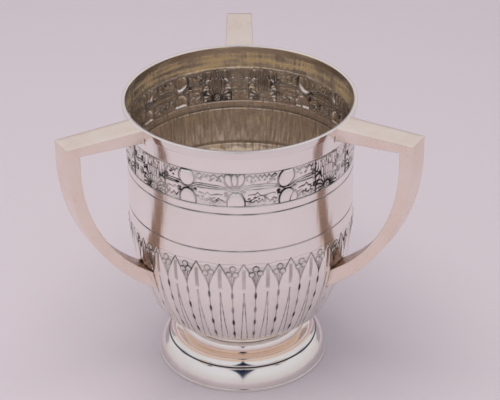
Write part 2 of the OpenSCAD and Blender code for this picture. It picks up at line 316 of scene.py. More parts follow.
# short sunk slot near each tip, and the long split below it
slot_d = D - (TIP_D + 10.8 + 0.5 * leaf_jitter[leaf_index, 2])
slot = (1 - smooth(np.abs(leaf_x), 0.9, 1.4)) * (1 - smooth(np.abs(slot_d), 6.2, 8.4))
height -= np.where(in_leaves, 0.34 * slot, 0)
dark = np.maximum(dark, np.where(in_leaves, 0.42 * slot, 0))
SPLIT_D = TIP_D + 20.5
split_run = np.clip((D - SPLIT_D) / (LEAF_END_D - SPLIT_D), 0, 1)
split_half = 0.12 + 2.35 * split_run ** 1.15 * (R_HERE / STRAIGHT_R)
on_split = in_leaves & (D > SPLIT_D) & (D < LEAF_END_D - 0.4)
line(np.abs(leaf_x) - split_half, 0.27, 0.3, 0.75, on_split)
line(D - LEAF_END_D, 0.3, 0.3, 0.55)
# berries on short stalks
vee_index = np.floor((A - LEAF_TURN) / pitch).astype(int) % LEAVES
vee_x = wrapped(A - LEAF_TURN - (vee_index + 0.5) * pitch) * R_HERE
vee_jitter = rng.normal(0, 1, (LEAVES, 7))
for k, (bx, bd, br) in enumerate(((0.1, 3.1, 1.85), (-2.0, 6.7, 1.8), (2.05, 6.6, 1.85))):
    away = np.hypot(
        vee_x - bx - 0.28 * vee_jitter[vee_index, 2 * k],
        D - TIP_D - bd - 0.3 * vee_jitter[vee_index, 2 * k + 1],
    )
    bead = np.sqrt(np.clip(1 - (away / br) ** 2, 0, 1))
    height = np.where(away < br, np.maximum(height, 0.8 * bead), height)
    dark = np.where(away < br - 0.25, 0, dark)
    line(away - br, 0.32, 0.3, 0.85)
in_vee = (D > TIP_D + 1.5) & (D < VEE_D) & (edge > 0.5)
dark = np.where(in_vee, np.maximum(dark, 0.2), dark)
STALK_D = TIP_D + 8.2
stalk = np.clip((D - STALK_D) / (VEE_D - STALK_D), 0, 1)
for lean in (-1, 0, 1):
    off = vee_x - lean * 1.5 * (1 - stalk) ** 1.3
    line(off, 0.24, 0.16, 0.9, (D > TIP_D + 8.0) & (D < VEE_D))
# a faint festoon from tip to tip
festoon = D - (TIP_D - 0.6) - 0.9 * np.clip(np.abs(vee_x) / half_pitch, 0, 1) ** 2
line(festoon, 0.18, 0.12, 0.4, np.abs(vee_x) < half_pitch * 0.9)

# the frieze: fruit on a waving stem, toothed leaf sprays, and two palmettes at each handle
frieze = (Z_HERE < FRIEZE_TOP) & (Z_HERE > FRIEZE_LOW)
third = math.radians(120)
sector = np.round(A / third).astype(int) % 3
X = wrapped(A - sector * third) * STRAIGHT_R
Z = Z_HERE - 1.6
raised = np.zeros_like(A)
outline = np.full_like(A, 9.0)


def emboss(inside, swell, edge_half=0.36):
    """Raises a shape from its signed distance (below zero inside) and keeps its outline."""
    global raised, outline
    dome = swell * (1 - (1 - np.clip(-inside / 2.2, 0, 1)) ** 2)
    cover = inside < 0
    outline = np.where(cover, np.abs(inside) / edge_half, np.minimum(outline, np.abs(inside) / edge_half))
    raised = np.where(cover, 0.12 + dome, raised)


def oval(x0, z0, half_x, half_z, lean=0.0):
    c, s = math.cos(lean), math.sin(lean)
    u = (X - x0) * c + (Z - z0) * s
    v = -(X - x0) * s + (Z - z0) * c
    q = np.sqrt((u / half_x) ** 2 + (v / half_z) ** 2)
    return (q - 1) * min(half_x, half_z) * (0.6 + 0.4 * q)


DEG = STRAIGHT_R * math.pi / 180
PAIRS = (-26.8 * DEG, -2.6 * DEG, 23.0 * DEG)
stem_z = 157.6 - sum(3.2 * np.exp(-(((X - p - 0.5) / 5.2) ** 2)) for p in PAIRS)
stem_z = stem_z + 0.5 * np.sin(X / 6.1)
# leaf sprays above and below the stem
spray_starts = (-39.0 * DEG, PAIRS[0] + 6.5, PAIRS[1] + 6.5, PAIRS[2] + 6.5)
spray_ends = (PAIRS[0] - 6.0, PAIRS[1] - 6.0, PAIRS[2] - 6.0, 38.0 * DEG)
for k, (x0, x1) in enumerate(zip(spray_starts, spray_ends)):
    beyond = np.abs(X - (x0 + x1) / 2) - (x1 - x0) / 2
    for side, period, root in ((1, 3.3, 163.9), (-1, 4.6, 147.6)):
        # a toothed edge: uneven teeth, cut with a small straight punch
        tooth = (X - x0) / period + 0.3 * np.sin(X / 3.1 + k)
        uneven = rng.normal(0, 1, 64)[np.clip(tooth, 0, 63).astype(int)]
        zigzag = np.abs(2 * (tooth - np.floor(tooth)) - 1)
        toothed = root - side * (2.0 + 0.5 * uneven) * zigzag + side * 1.0
        leaf = np.maximum(side * (Z - toothed) * 0.62, side * (155.5 - Z))
        emboss(np.where(beyond > 0, 9.0, leaf), 0.12, 0.27)
        # veins and punched dots
        for j in range(int((x1 - x0) / 2.3)):
            x = x0 + 1.2 + 2.3 * j + 0.5 * rng.normal()
            z = (161.4 if side > 0 else 148.9) + 0.9 * rng.normal()
            outline = np.minimum(outline, np.clip(np.hypot(X - x, Z - z) - 0.3, 0, 9) / 0.3)
            if rng.random() < 0.55:
                lean = 0.9 * rng.normal()
                vein = np.abs((X - x - 0.9) - lean * (Z - z)) / math.hypot(1, lean)
                vein = np.maximum(vein, np.abs(Z - z - 0.6 * side) - 1.1)
                outline = np.minimum(outline, np.clip(vein, 0, 9) / 0.26)
    peak = np.clip(1 - np.abs(X - x0 - 7.0) / 1.5, 0, 1)
    squiggle = 151.6 + 0.55 * np.sin(X / 1.9 + 2 * k) + 1.9 * peak
    squiggle = np.maximum(np.abs(Z - squiggle) * 0.75, beyond + 1.5)
    outline = np.minimum(outline, np.clip(squiggle, 0, 9) / 0.28)
# the stem lies over the leaves
emboss(np.abs(Z - stem_z) - 0.68, 0.16, 0.3)
# fruit
for k, p in enumerate(PAIRS):
    if k == 1:
        emboss(oval(p - 0.4, 160.6, 5.6, 4.6), 0.4)
        emboss(oval(p + 3.4, 161.9, 2.3, 4.6, -0.32), 0.6)
        emboss(oval(p - 3.4, 161.6, 2.4, 4.6, 0.3), 0.6)
        emboss(oval(p - 0.1, 161.9, 1.9, 4.6, 0.06), 0.5)
    elif k == 0:
        emboss(np.maximum(oval(p, 160.9, 5.2, 5.9, 0.12), Z - 165.6), 0.85)
    else:
        emboss(np.maximum(oval(p, 160.9, 4.9, 6.6, -0.5), Z - 165.9), 0.85)
    emboss(np.maximum(oval(p + 0.6, 146.2, 5.4, 7.2), 143.9 - Z), 0.75)
    if k == 2:
        emboss(np.maximum(oval(p + 4.6, 145.6, 2.6, 4.6, -0.25), 143.9 - Z), 0.5)
    for bx, bz, br in ((-6.4, 155.9, 0.9), (-5.2, 152.6, 0.75), (-4.9, 150.9, 0.6), (5.4, 153.6, 0.55)):
        away = np.hypot((X - p - bx) / 1.5, Z - bz - 0.2 * k) - br * 0.5
        outline = np.minimum(outline, np.clip(away, 0, 9) / 0.5)
# palmettes: three rings of petals fanned round a boss, one each side of a handle
from_handle = wrapped(A - math.radians(60) - np.floor(A / third) * third)
palm = (np.abs(from_handle) - math.radians(12.5)) * STRAIGHT_R
fan_x, fan_z = palm * 0.82, Z - 146.0
reach_out = np.hypot(fan_x, fan_z)
fan_turn = np.arctan2(fan_x, fan_z) + 0.028 * reach_out * np.sin(palm / 3.0)
for inner_r, outer_r, petals, shift in ((13.0, 21.5, 17, 0.0), (7.0, 14.2, 13, 0.5), (1.2, 8.2, 9, 0.0)):
    share = fan_turn * petals / math.pi + shift
    off_centre = np.abs(share - np.round(share))
    to_side = (0.5 - off_centre) * reach_out * math.pi / petals
    tip = outer_r - 2.6 * (2 * off_centre) ** 2
    petal = np.maximum(0.22 - to_side, (reach_out - tip) * 0.8)
    petal = np.maximum(np.maximum(petal, inner_r - reach_out), np.abs(palm) - 9.6)
    emboss(np.maximum(petal, np.abs(Z - 154.9) - 10.8), 0.5, 0.26)
bosses = [(0.0, 146.2, 2.3), (10.9, 158.8, 1.5), (10.4, 150.2, 1.3)]
bosses += [(-11.0, 160.2, 1.4), (-12.4, 151.5, 1.9)]
for bx, bz, br in bosses:
    ring = np.hypot(palm - bx, Z - bz)
    emboss(ring - br, 0.4, 0.3)
    outline = np.minimum(outline, np.abs(ring - br * 0.45) / 0.28)
ground = frieze & (raised == 0)
grain = unevenness(1, 1)
height += np.where(frieze, raised - np.where(ground, 0.2 - 0.05 * grain, 0), 0)
cut = np.where(frieze, 1 - smooth(outline, 0, 1.9), 0)
height -= 0.4 * cut
frieze_dark = np.where(frieze, 1 - smooth(outline, 0.65, 1.7), 0)
worn = 0.62 + 0.38 * smooth(blur(rng.normal(0, 1, A.shape), 9, 9) * 26, -1.2, 1.0)
dark = np.maximum(dark, frieze_dark * worn)
dark = np.maximum(dark, np.where(ground, 0.12 + 0.3 * np.clip(-grain - 0.3, 0, 1.5), 0))

# planishing: long upright hammer strokes all over, which a pale room only just shows
strokes = unevenness(16, 2)
dents = unevenness(14, 12)
above_frieze_low = smooth(Z_HERE, FRIEZE_LOW - 1, FRIEZE_LOW + 1)
plain = 1 - above_frieze_low * (1 - smooth(Z_HERE, FRIEZE_TOP, FRIEZE_TOP + 1))
height += (0.016 * strokes + 0.035 * dents) * (0.4 + 0.6 * plain)
chased_dark = dark * worn
# painted shade: the body is darkened round the soldered ends of each handle, where the corners between handle
# and cup lie in shadow
HANDLE_HALF = 8.9
across_handle = np.abs(from_handle) * R_HERE
for z0, z1 in ((174.0, 182.8), (70.3, 83.3)):
    clear = np.maximum(across_handle - HANDLE_HALF, np.abs(Z_HERE - (z0 + z1) / 2) - (z1 - z0) / 2)
    dark = np.maximum(dark, 0.75 * (1 - smooth(clear + 0.15 * grain, 0.1, 1.5)))
height *= smooth(D, 3.5, 6.0) * (1 - smooth(D, fine_end - 3, fine_end))
dark *= worn

r, z, nr, nz = body_at(outside_down)
# rings from the underside up over the lip, then down the inside and across the floor;
# each block holds radius, height, darkness (chased lines and painted shade), inside, painted gold highlight
# and painted floor reflection
flat = np.zeros_like(dark)
outer_r, outer_z = r[:, None] + nr[:, None] * height, z[:, None] + nz[:, None] * height
rings = [[outer_r[::-1], outer_z[::-1], dark[::-1], flat, flat, flat]]
# inside: the same sheet seen from behind, drawn in rows twice as far apart
inner_rows = np.arange(0, len(outside_down) - 8, 2)
inner_height = height[inner_rows] * 1.15
# above the leaves the sheet is thicker, and it steps back in a wavy ledge behind their tips
inner_z_here = Z_HERE[inner_rows]
ledge_z = 110.5 + 1.0 * np.sin(A[inner_rows] * LEAVES) + 0.7 * np.sin(A[inner_rows] * 7 + 1.0)
ledge = smooth(inner_z_here, ledge_z - 3.4, ledge_z) * (1 - smooth(inner_z_here, 150, 175))
# inside, the planishing strokes are left deep and close together
flutes = unevenness(9, 1, inner_rows)
fluted = smooth(inner_z_here, 55, 70) * (1 - smooth(inner_z_here, 172, 178))
low_down = 1 - smooth(inner_z_here, 50, 62)
inner_height = inner_height - 0.75 * ledge + 0.08 * flutes * fluted
# the floor was never planished flat, and keeps the broad dents of raising
inner_height = inner_height + 0.5 * dents[inner_rows] * low_down
inner_r = (r - nr * WALL_MM)[inner_rows][:, None] + nr[inner_rows][:, None] * inner_height
inner_z = (z - nz * WALL_MM)[inner_rows][:, None] + nz[inner_rows][:, None] * inner_height
inner_dark = chased_dark[inner_rows] * 0.9
inner_dark = np.clip(inner_dark + 0.16 * np.clip(flutes, 0, 2) * (1 - smooth(inner_z_here, 140, 146)), 0, 1)
# painted highlight: a golden band below the lip, gold streaks lower down and gold patches stand in for the
# highlights inside
patchy = unevenness(6, 14, inner_rows)
streaky = unevenness(2, 18, inner_rows) + 0.5 * flutes
lip_band = smooth(inner_z_here, 167.5, 169) * (1 - smooth(inner_z_here, 177.5, 179))
lower_wall = (1 - smooth(inner_z_here, 140, 144)) * (1 - low_down)
golden = lip_band * smooth(streaky, -1.8, 1.8)
golden = np.maximum(golden, 0.7 * smooth(flutes, 0.9, 1.8) * lower_wall)
golden = np.maximum(golden, 0.35 * smooth(patchy, 0.7, 1.9))
LIP_EASE = 0.15


def whole_ring(*levels):
    return [np.full((1, COLUMNS), float(level)) for level in levels]


rings.append(whole_ring(r[0] - LIP_EASE, LIP_Z, 0, 0.5, 0, 0))
rings.append([inner_r, inner_z, inner_dark, np.ones_like(inner_dark), golden, low_down])
# painted reflection: the low inside wall and the floor are marked to be made part matt and bright
for floor_r in (26.0, 15.0, 5.0):
    rings.append(whole_ring(floor_r, BOTTOM_Z + WALL_MM, 0, 1, 0, 1))
ring_r, ring_z, ring_dark, ring_in, ring_gold, ring_frost = (np.concatenate(field) for field in zip(*rings))


def ring_mesh(name, radii, heights, angles, close=False, caps=False, values=None):
    """A mesh of rings round Z from rows of radii and heights in mm; front is azimuth 0."""
    rows, columns = radii.shape
    co = np.empty((rows * columns + (2 if caps else 0), 3))
    co[: rows * columns, 0] = (radii * np.sin(angles)).ravel() * MM
    co[: rows * columns, 1] = (-radii * np.cos(angles)).ravel() * MM
    co[: rows * columns, 2] = heights.ravel() * MM
    i = np.arange(rows * columns).reshape(rows, columns)
    j = np.roll(i, -1, axis=1)
    if close:
        below_i, below_j = np.roll(i, -1, axis=0), np.roll(j, -1, axis=0)
        quads = np.stack([i, below_i, below_j, j], -1).reshape(-1, 4)
    else:
        quads = np.stack([i[:-1], i[1:], j[1:], j[:-1]], -1).reshape(-1, 4)
    loops, sizes = quads.ravel(), np.full(len(quads), 4)
    if caps:
        co[-2], co[-1] = (0, 0, heights[0].mean() * MM), (0, 0, heights[-1].mean() * MM)
        first = np.stack([np.full(columns, rows * columns), i[0], j[0]], -1)
        last = np.stack([np.full(columns, rows * columns + 1), j[-1], i[-1]], -1)
        loops = np.concatenate([loops, first.ravel(), last.ravel()])
        sizes = np.concatenate([sizes, np.full(2 * columns, 3)])
    mesh = bpy.data.meshes.new(name)
    mesh.vertices.add(len(co))
    mesh.vertices.foreach_set("co", co.ravel())
    mesh.loops.add(len(loops))
    mesh.loops.foreach_set("vertex_index", loops)
    mesh.polygons.add(len(sizes))
    mesh.polygons.foreach_set("loop_start", np.concatenate([[0], np.cumsum(sizes)[:-1]]))
    mesh.update(calc_edges=True)
    mesh.polygons.foreach_set("use_smooth", np.ones(len(sizes), bool))
    for key, field in (values or {}).items():
        flat = np.concatenate([field.ravel(), [0.0, 0.0]]) if caps else field.ravel()
        mesh.attributes.new(key, "FLOAT", "POINT").data.foreach_set("value", flat.astype(np.float32))
    return mesh


def piece(name, mesh, slot, *nodes):
    """Puts a finished mesh in the scene as part of the cup, in place of its CAD nodes."""
    o = bpy.data.objects.new(name, mesh)
    bpy.context.scene.collection.objects.link(o)
    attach(o, "root")
    if nodes:
        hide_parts(*nodes)
    return o


# the darkness attribute holds the blackened chased lines and also the painted shade round the handle ends
body_values = {"chased": ring_dark, "inside": ring_in, "golden": ring_gold, "frosted": ring_frost}
body_mesh = ring_mesh("raised_body", ring_r, ring_z, azimuth[None, :], caps=True, values=body_values)
piece("raised_body", body_mesh, "body_silver", "cup_body")

# Sterling silver, hand-polished: nearly white, a warm film of tarnish in hollows, black
# sulphide left in every chased line, and painted shade round the ends of each handle.
# Inside, a painted gold highlight shows as gold, and the floor is a painted reflection in part-matt white.
chased_silver = bpy.data.materials.new("sterling_silver_chased_oxidised")
chased_silver.use_nodes = True
tree = chased_silver.node_tree
shader = tree.nodes["Principled BSDF"]
place = put(tree, "ShaderNodeTexCoord").outputs["Object"]
line_value = put(tree, "ShaderNodeAttribute", {"attribute_name": "chased"}).outputs["Fac"]
inside_value = put(tree, "ShaderNodeAttribute", {"attribute_name": "inside"}).outputs["Fac"]
golden_value = put(tree, "ShaderNodeAttribute", {"attribute_name": "golden"}).outputs["Fac"]
frost_value = put(tree, "ShaderNodeAttribute", {"attribute_name": "frosted"}).outputs["Fac"]
film = put(tree, "ShaderNodeTexNoise", {"Scale": 38.0, "Detail": 5.0, "Roughness": 0.6}, {"Vector": place})
film = film.outputs["Fac"]
tone = mixed(tree, film, "#fbf9f7", "#f1eae2")
# painted highlight: the inside turns gold where the gold highlight is painted
inside_tone = mixed(tree, golden_value, mixed(tree, film, "#fbf5ef", "#ecdfd4"), "#fadfb0")
sheet_tone = mixed(tree, inside_value, tone, inside_tone)
# base colour darkens with the chased lines and with the painted shade round the handle ends
tree.links.new(mixed(tree, line_value, sheet_tone, "#30262a"), shader.inputs["Base Color"])
# the painted gold highlight and the painted floor reflection are made part matt, so the overhead lamp lights
# them brighter
lacquer = put(tree, "ShaderNodeMath", {"operation": "MULTIPLY", 1: 0.6}, {0: golden_value}).outputs[0]
metal_left = ramp(tree, maths(tree, "MAXIMUM", lacquer, frost_value), 0.0, 1.0, 1.0, 0.35)
tree.links.new(metal_left, shader.inputs["Metallic"])
line_rough = ramp(tree, line_value, 0.0, 1.0, 0.16, 0.6)
cloudy = ramp(tree, film, 0.35, 0.7, 0.0, 0.1)
tree.links.new(maths(tree, "ADD", line_rough, cloudy), shader.inputs["Roughness"])
# fine rubbing scratches, under 0.1 mm apart, drawn at 0.7 mm
scratch = put(tree, "ShaderNodeTexNoise", {"Scale": 1500.0, "Detail": 2.0}, {"Vector": place}).outputs["Fac"]
bump = put(tree, "ShaderNodeBump", {"Strength": 0.02, "Distance": 0.0001}, {"Height": scratch})
tree.links.new(bump.outputs[0], shader.inputs["Normal"])
body_mesh.materials.append(chased_silver)

# ---- lip wire ----------------------------------------------------------------------
# A flat rectangular wire 4.8 mm high soldered round the outside of the lip, its
# arrises eased with a file and the top edge burnished flush with the sheet.

wire_low, wire_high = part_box("lip_wire")
WIRE_R, WIRE_Z0, WIRE_Z1 = wire_high.x / MM, wire_low.z / MM, wire_high.z / MM


def eased(points, radius=0.3, steps=3):
    """Rounds the corners of a closed (r, z) outline."""
    out = []
    n = len(points)
    for k in range(n):
        before, here, after = (np.array(points[(k + s) % n], float) for s in (-1, 0, 1))
        a, b = before - here, after - here
        la, lb = np.hypot(*a), np.hypot(*b)
        cut_back = min(radius, la * 0.45, lb * 0.45)
        p, q = here + a / la * cut_back, here + b / lb * cut_back
        for s in range(steps + 1):
            t = s / steps
            out.append((1 - t) ** 2 * p + 2 * t * (1 - t) * here + t * t * q)
    return np.array(out)


def turned(name, outline, columns=540, wobble=0.0, seed=3):
    """A closed ring from an (r, z) outline, with the slight unevenness of hand work."""
    angles = np.arange(columns) * 2 * math.pi / columns
    source = np.random.default_rng(seed)
    waves = (2, 3, 5, 8, 13, 21, 34)
    uneven = sum(source.normal() * np.sin(n * angles + source.uniform(0, 6.3)) / n ** 0.5 for n in waves)
    radii = outline[:, 0][:, None] + wobble * uneven[None, :]
    heights = np.broadcast_to(outline[:, 1][:, None], radii.shape)
    return ring_mesh(name, radii, heights, angles[None, :], close=True)


LIP_WIRE_IN, LIP_WIRE_TOP = LIP_R - 0.2, WIRE_Z1 + 0.02
lip_outline = [(LIP_WIRE_IN, WIRE_Z0), (LIP_WIRE_IN, LIP_WIRE_TOP), (WIRE_R, LIP_WIRE_TOP), (WIRE_R, WIRE_Z0)]
lip_mesh = turned("lip_wire_strip", eased(lip_outline, 0.45), wobble=0.02)
piece("lip_wire_strip", lip_mesh, "wire_silver", "lip_wire")

polished_silver = bpy.data.materials.new("sterling_silver_buffed")
polished_silver.use_nodes = True
tree = polished_silver.node_tree
shader = tree.nodes["Principled BSDF"]
place = put(tree, "ShaderNodeTexCoord").outputs["Object"]
film = put(tree, "ShaderNodeTexNoise", {"Scale": 46.0, "Detail": 5.0, "Roughness": 0.6}, {"Vector": place})
film = film.outputs["Fac"]
tree.links.new(mixed(tree, film, "#f8f6f4", "#ebe4de"), shader.inputs["Base Color"])
shader.inputs["Metallic"].default_value = 1.0
tree.links.new(ramp(tree, film, 0.3, 0.7, 0.06, 0.14), shader.inputs["Roughness"])
# cloth scratches run round the cup; they are about 0.1 mm apart, drawn at 0.7 mm
along = put(tree, "ShaderNodeMapping", {"Scale": (1.0, 1.0, 6.0)}, {"Vector": place}).outputs[0]
scratch = put(tree, "ShaderNodeTexNoise", {"Scale": 240.0, "Detail": 3.0}, {"Vector": along}).outputs["Fac"]
bump = put(tree, "ShaderNodeBump", {"Strength": 0.05, "Distance": 0.0001}, {"Height": scratch})
tree.links.new(bump.outputs[0], shader.inputs["Normal"])
lip_mesh.materials.append(polished_silver)


# ---- foot --------------------------------------------------------------------------
# The domed foot is spun or raised from sheet, with a flat wire under its edge. A neck
# collar with a rounded ring carries the cup, and a half-round wire hides that joint.

shell_low, shell_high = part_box("foot_shell")
FOOT_R, FOOT_TOP, FOOT_BAND = shell_high.x / MM, shell_high.z / MM, shell_low.z / MM
DOME, FOOT_SHEET, FOOT_INNER_R = 13.0, 1.2, 35.5
DOME_Z = FOOT_TOP - DOME
DOME_R = FOOT_R - DOME


def arc(cr, cz, radius, start, end, steps):
    """Points of an (r, z) arc between two angles in degrees, 0 pointing outward."""
    return [
        (cr + radius * math.cos(math.radians(t)), cz + radius * math.sin(math.radians(t)))
        for t in np.linspace(start, end, steps)
    ]


shell_outline = (
    [(FOOT_R, FOOT_BAND)]
    + arc(DOME_R, DOME_Z, DOME, 0, 90, 40)
    + [(FOOT_INNER_R, FOOT_TOP), (FOOT_INNER_R, FOOT_TOP - FOOT_SHEET)]
    + arc(DOME_R, DOME_Z, DOME - FOOT_SHEET, 90, 0, 16)
    + [(FOOT_R - FOOT_SHEET, FOOT_BAND)]
)
shell_mesh = turned("foot_dome", np.array(shell_outline), 720, 0.035, 5)
piece("foot_dome", shell_mesh, "foot_silver", "foot_shell")

RIM_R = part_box("foot_wire")[1].x / MM
RIM_IN, RIM_TOP = RIM_R - 3.4, 1.98
rim_outline = eased([(RIM_IN, 0.0), (RIM_R, 0.0), (RIM_R, RIM_TOP), (RIM_IN, RIM_TOP)])
rim_mesh = turned("foot_flat_wire", rim_outline, 720, 0.02, 6)
piece("foot_flat_wire", rim_mesh, "foot_silver", "foot_wire")

RING_SECTION = 4.3
RING_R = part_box("foot_collar")[1].x / MM - RING_SECTION
RING_Z = FOOT_TOP + 2.1 + RING_SECTION
NECK_WALL, SEAT_R, SEAT_Z = 39.2, 31.2, BOTTOM_Z - FOOT_SHEET
collar_outline = (
    [(NECK_WALL, FOOT_TOP), (NECK_WALL, FOOT_TOP + 2.6)]
    + arc(RING_R, RING_Z, RING_SECTION, -40, 84, 32)
    + [(RING_R + 0.05, RING_Z + RING_SECTION + 0.5), (RING_R, BOTTOM_Z), (SEAT_R, BOTTOM_Z)]
    + [(SEAT_R, SEAT_Z), (RING_R - FOOT_SHEET, SEAT_Z), (RING_R - FOOT_SHEET, RING_Z + 3.1)]
    + arc(RING_R, RING_Z, RING_SECTION - FOOT_SHEET, 90, -50, 16)
    + [(NECK_WALL - FOOT_SHEET, FOOT_TOP)]
)
collar_mesh = turned("neck_collar", np.array(collar_outline), 720, 0.03, 7)
piece("neck_collar", collar_mesh, "foot_silver", "foot_collar")

join_low, join_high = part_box("join_wire")
JOIN_HALF = (join_high.z - join_low.z) / MM / 2
JOIN_R = join_high.x / MM - JOIN_HALF
# a thin sloping flange runs down from the wire over the shoulder of the dome
join_outline = [(NECK_WALL + 0.02, FOOT_TOP)] + arc(DOME_R, DOME_Z, DOME + 0.02, 90, 62, 8)
join_outline += arc(DOME_R, DOME_Z, DOME + 0.4, 61, 66, 3)
join_outline += arc(JOIN_R, FOOT_TOP + JOIN_HALF, JOIN_HALF, 8, 90, 14)
JOIN_TOP = FOOT_TOP + 2 * JOIN_HALF
join_outline += [(NECK_WALL + 0.5, JOIN_TOP + 0.05), (NECK_WALL + 0.02, JOIN_TOP + 0.35)]
join_mesh = turned("neck_joint_wire", np.array(join_outline), 720, 0.02, 8)
piece("neck_joint_wire", join_mesh, "wire_silver", "join_wire")

# The same silver on the foot, with copper-coloured bands below the neck ring and on top of
# the wire, and painted shade: a dark line on the dome along the lower edge of the wire's flange.
foot_silver = polished_silver.copy()
foot_silver.name = "sterling_silver_buffed_copper_bands_painted_shade"
tree = foot_silver.node_tree
shader = tree.nodes["Principled BSDF"]
foot_tone = shader.inputs["Base Color"].links[0].from_socket
place = put(tree, "ShaderNodeTexCoord").outputs["Object"]
where = put(tree, "ShaderNodeSeparateXYZ", links={0: place}).outputs
level_xy = put(tree, "ShaderNodeCombineXYZ", links={0: where[0], 1: where[1]})
from_axis = put(tree, "ShaderNodeVectorMath", {"operation": "LENGTH"}, {0: level_xy.outputs[0]})
side_view = put(tree, "ShaderNodeCombineXYZ", links={0: from_axis.outputs["Value"], 2: where[2]})
for at_r, at_z, full, gone, colour in (
    (RING_R + RING_SECTION, RING_Z - 1.4, 1.0, 3.2, "#f1d9c6"),
    (JOIN_R + JOIN_HALF, FOOT_TOP + 2.1, 0.6, 1.4, "#f0d6c2"),
    # painted shade: the dark line on the dome under the wire's flange
    (DOME_R + 6.4, DOME_Z + 11.3, 0.3, 0.8, "#32343f"),
):
    at = {"operation": "DISTANCE", 1: (at_r * MM, 0.0, at_z * MM)}
    near = put(tree, "ShaderNodeVectorMath", at, {0: side_view.outputs[0]}).outputs["Value"]
    foot_tone = mixed(tree, ramp(tree, near, full * MM, gone * MM, 1.0, 0.0), foot_tone, colour)
tree.links.new(foot_tone, shader.inputs["Base Color"])
for mesh in (shell_mesh, rim_mesh, collar_mesh, join_mesh):
    mesh.materials.append(foot_silver)

# ---- handles -----------------------------------------------------------------------
# Each handle is a hollow box of 1 mm sheet: two cheeks, a strip round the outside of
# the bow, a strip round its inside, a plate under the arm and one over it. The seams
# are hard-soldered and filed flush, the arrises eased, and the faces left satin.

plate_low, plate_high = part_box("handle_a_top_plate")
REACH, ARM_TOP = plate_high.y / MM, plate_high.z / MM
SHEET = ARM_TOP - plate_low.z / MM
BOW_DEPTH, ARM_OUTER, ARM_INNER = 8.6, 6.4, 8.7
WIDE_OUTER, WIDE_INNER = 16.2, 17.8
GAP_REACH = REACH - BOW_DEPTH
UNDER_OUTER, UNDER_INNER = ARM_TOP - ARM_OUTER, ARM_TOP - ARM_INNER
BOW_OUTER_Z, BOW_INNER_Z = LIP_Z - 11.5, LIP_Z - 17.5
outside_r, outside_z = body_at(np.linspace(0, OUTSIDE_LENGTH, 800))[:2]


def body_radius(z):
    """Outside radius of the cup at a height, with the lip wire counted in."""
    bare = np.interp(z, outside_z[::-1], outside_r[::-1])
    return np.where(np.asarray(z) > WIRE_Z0, WIRE_R, bare)


def bow_radius(reach, z, root_z):
    gap = reach - float(body_radius(root_z))
    return (gap * gap + (z - root_z) ** 2) / (2 * gap)


ROOT_LOW = CURVE_Z - LONG_R * math.sin(TURN_ANGLE) + 26.4
ROOT_HIGH = ROOT_LOW + 13.0
OUTER_BOW = bow_radius(REACH, BOW_OUTER_Z, ROOT_LOW)
INNER_BOW = bow_radius(GAP_REACH, BOW_INNER_Z, ROOT_HIGH)


def half_width(u):
    return (WIDE_OUTER + (WIDE_INNER - WIDE_OUTER) * (REACH - u) / (REACH - STRAIGHT_R)) / 2


def arm_underside(u):
    return UNDER_INNER + (UNDER_OUTER - UNDER_INNER) * (u - STRAIGHT_R) / (GAP_REACH - STRAIGHT_R)


def coped(u, v, z, sink=0.3):
    """Keeps a point of a handle out of the cup, apart from its soldered edge."""
    wall = np.sqrt(np.maximum(body_radius(z) ** 2 - np.asarray(v) ** 2, 1.0)) - sink
    return np.maximum(u, wall)


def bow_path(reach, top_z, start_z, radius, root_z, steps):
    """Side view of one bow face from its top to just inside the cup, with normals."""
    path = [(reach, z, 1.0, 0.0) for z in np.linspace(top_z, start_z, 5)]
    end = math.asin(min(1.0, (start_z - root_z + 1.6) / radius))
    for t in np.linspace(0, end, steps)[1:]:
        c, s = math.cos(t), math.sin(t)
        path.append((reach - radius * (1 - c), start_z - radius * s, c, -s))
    return np.array(path)


def swept(name, path, section):
    """A closed bar: a section of (share of half width, mm of side inset, depth) along a side-view path."""
    rows = []
    for u, z, nu, nz in path:
        ring = []
        for share, inset, depth in section:
            v = share * (half_width(u) - inset)
            uu, zz = u - nu * depth, z - nz * depth
            ring.append((float(coped(uu, v, zz)), v, zz))
        rows.append(ring)
    return bar(name, rows)


def bar(name, rows):
    """Joins rows of points (u outward, v across, z) into a closed solid with flat ends."""
    n = len(rows[0])
    made = bmesh.new()
    rings = [[made.verts.new((-v * MM, u * MM, z * MM)) for u, v, z in row] for row in rows]
    for a, b in zip(rings, rings[1:]):
        for k in range(n):
            made.faces.new((a[k], a[(k + 1) % n], b[(k + 1) % n], b[k]))
    made.faces.new(list(reversed(rings[0])))
    made.faces.new(rings[-1])
    bmesh.ops.recalc_face_normals(made, faces=made.faces)
    mesh = bpy.data.meshes.new(name)
    made.to_mesh(mesh)
    made.free()
    return mesh


def finish_edges(mesh, degrees=32):
    mesh.polygons.foreach_set("use_smooth", [True] * len(mesh.polygons))
    mesh.set_sharp_from_angle(angle=math.radians(degrees))
    return mesh


EASE = 0.45
quarter = [math.radians(a) for a in (0, 30, 60, 90)]
# outer strip: eased on both outer arrises, and crowned a little across
across = [(-1, 0.0, SHEET)]
across += [(-1, EASE * (1 - math.cos(a)), EASE * (1 - math.sin(a))) for a in quarter]
across += [(x, EASE, -0.12 * (1 - x * x)) for x in (-0.75, -0.5, -0.25, 0, 0.25, 0.5, 0.75)]
across += [(1, EASE * (1 - math.cos(a)), EASE * (1 - math.sin(a))) for a in reversed(quarter)]
across += [(1, 0.0, SHEET), (0.5, 0.0, SHEET), (0, 0.0, SHEET), (-0.5, 0.0, SHEET)]
outer_mesh = finish_edges(
    swept("bow_outer_strip", bow_path(REACH, ARM_TOP - SHEET, BOW_OUTER_Z, OUTER_BOW, ROOT_LOW, 60), across)
)
